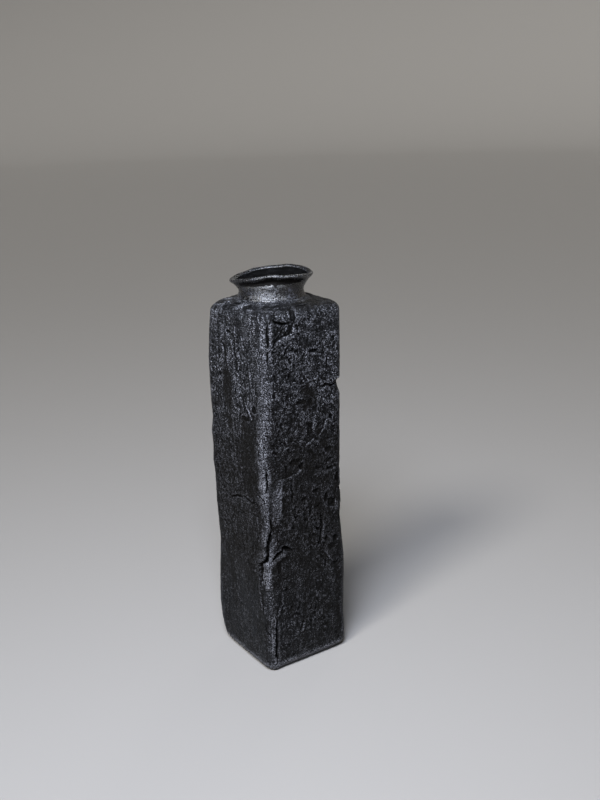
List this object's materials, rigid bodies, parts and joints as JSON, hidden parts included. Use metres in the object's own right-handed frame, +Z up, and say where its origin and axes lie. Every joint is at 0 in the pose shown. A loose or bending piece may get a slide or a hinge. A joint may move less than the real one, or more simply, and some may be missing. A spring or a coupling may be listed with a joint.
{
  "type": "square bottle vase",
  "caption": "Tall square slab-built stoneware bottle vase, slightly twisted, with a short round neck and a flared lip.",
  "frame": {"origin": "middle of the underside, on the surface that the vase stands on", "axes": "+Z up along the body; -Y out of the front wall; +X towards the right wall"},
  "size_m": [0.0536, 0.0536, 0.2122],
  "materials": {
    "raw_clay": "raw",
    "wall_clay": "rough",
    "coil_clay": "raw",
    "shoulder_clay": "satin",
    "neck_clay": "satin"
  },
  "bodies": {
    "root": {"floor_slab": "raw_clay", "wall_front": "wall_clay", "wall_right": "wall_clay", "wall_back": "wall_clay", "wall_left": "wall_clay", "coil_front_right": "coil_clay", "coil_back_right": "coil_clay", "coil_back_left": "coil_clay", "coil_front_left": "coil_clay", "coil_floor": "coil_clay", "coil_shoulder": "coil_clay", "shoulder_slab": "shoulder_clay", "neck_collar": "neck_clay", "coil_neck": "shoulder_clay"}
  },
  "joints": []
}
